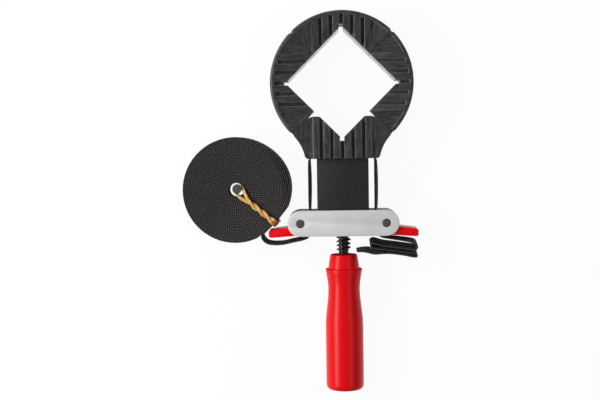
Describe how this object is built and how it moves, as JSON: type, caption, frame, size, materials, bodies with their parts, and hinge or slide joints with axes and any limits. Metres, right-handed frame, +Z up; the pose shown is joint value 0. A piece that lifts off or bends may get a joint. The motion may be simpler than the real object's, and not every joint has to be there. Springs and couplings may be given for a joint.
{
  "type": "band clamp",
  "caption": "Screw-tightened band clamp: a webbing loop with corner jaws round a square opening, a housing with cam levers and a long handle.",
  "frame": {"origin": "middle of the housing's back plate, midway between the two rivets, on the plane the clamp lies on", "axes": "+Y along the spindle from the handle to the jaws, +Z up from the bench through the front plate, +X to the right lever"},
  "size_m": [0.2346, 0.378, 0.0377],
  "materials": {
    "plate_steel": "satin",
    "rivet_steel": "dark phosphated",
    "lever_red": "gloss",
    "handle_red": "gloss",
    "slider_black": "matt, fine grain",
    "spindle_black": "black oxide",
    "jaw_plastic": "fine moulded grain",
    "webbing": "woven",
    "peg_steel": "plain turned",
    "band_rubber": "translucent amber"
  },
  "bodies": {
    "housing": {"back_plate": "plate_steel", "front_plate": "plate_steel", "left_rivet": "rivet_steel", "right_rivet": "rivet_steel", "left_guide": "rivet_steel", "right_guide": "rivet_steel", "nut_bar": "rivet_steel", "strap_lead": "webbing", "strap_coil": "webbing", "strap_tail": "webbing", "coil_peg": "peg_steel", "rubber_band": "band_rubber", "left_strap_run": "webbing", "right_strap_run": "webbing"},
    "slider": {"slider": "slider_black", "bottom_jaw": "jaw_plastic", "bottom_strap_left": "webbing", "bottom_strap_right": "webbing", "thrust_washer": "rivet_steel"},
    "spindle": {"spindle": "spindle_black", "handle": "handle_red", "retaining_ring": "rivet_steel"},
    "left_lever": {"left_lever": "lever_red"},
    "right_lever": {"right_lever": "lever_red"},
    "left_jaw": {"left_jaw": "jaw_plastic", "left_strap": "webbing"},
    "top_jaw": {"top_jaw": "jaw_plastic", "top_strap": "webbing"},
    "right_jaw": {"right_jaw": "jaw_plastic"},
    "right_webbing": {"right_strap": "webbing"}
  },
  "joints": [
    {"name": "slider_travel", "type": "slide", "parent": "housing", "child": "slider", "axis": [0, 1, 0], "range_m": [-0.034, 0.018], "deforming": ["left_strap_run", "right_strap_run"]},
    {"name": "spindle_turn", "type": "hinge", "parent": "slider", "child": "spindle", "pos_m": [0, 0, 0.0186], "axis": [0, 1, 0], "range_deg": [-3065, 1625]},
    {"name": "left_lever_release", "type": "hinge", "parent": "housing", "child": "left_lever", "pos_m": [-0.0425, 0, 0.0186], "axis": [0, 0, -1], "range_deg": [0, 5]},
    {"name": "right_lever_release", "type": "hinge", "parent": "housing", "child": "right_lever", "pos_m": [0.0425, 0, 0.0186], "axis": [0, 0, 1], "range_deg": [0, 50]},
    {"name": "jaws_spread", "type": "slide", "parent": "slider", "child": "left_jaw", "axis": [-0.7071, 0.7071, 0], "range_m": [0, 0.05]},
    {"name": "top_jaw_spread", "type": "slide", "parent": "left_jaw", "child": "top_jaw", "axis": [0.7071, 0.7071, 0], "range_m": [0, 0.0501]},
    {"name": "right_jaw_spread", "type": "slide", "parent": "slider", "child": "right_jaw", "axis": [0.7071, 0.7071, 0], "range_m": [0, 0.0501]},
    {"name": "right_webbing_spread", "type": "slide", "parent": "top_jaw", "child": "right_webbing", "axis": [0.7071, -0.7071, 0], "range_m": [0, 0.0501]}
  ],
  "couplings": [
    {"joint": "spindle_turn", "follows": "slider_travel", "rad_per_m": 1570.8},
    {"joint": "top_jaw_spread", "follows": "jaws_spread", "ratio": 1},
    {"joint": "right_jaw_spread", "follows": "jaws_spread", "ratio": 1},
    {"joint": "right_webbing_spread", "follows": "jaws_spread", "ratio": 1}
  ]
}
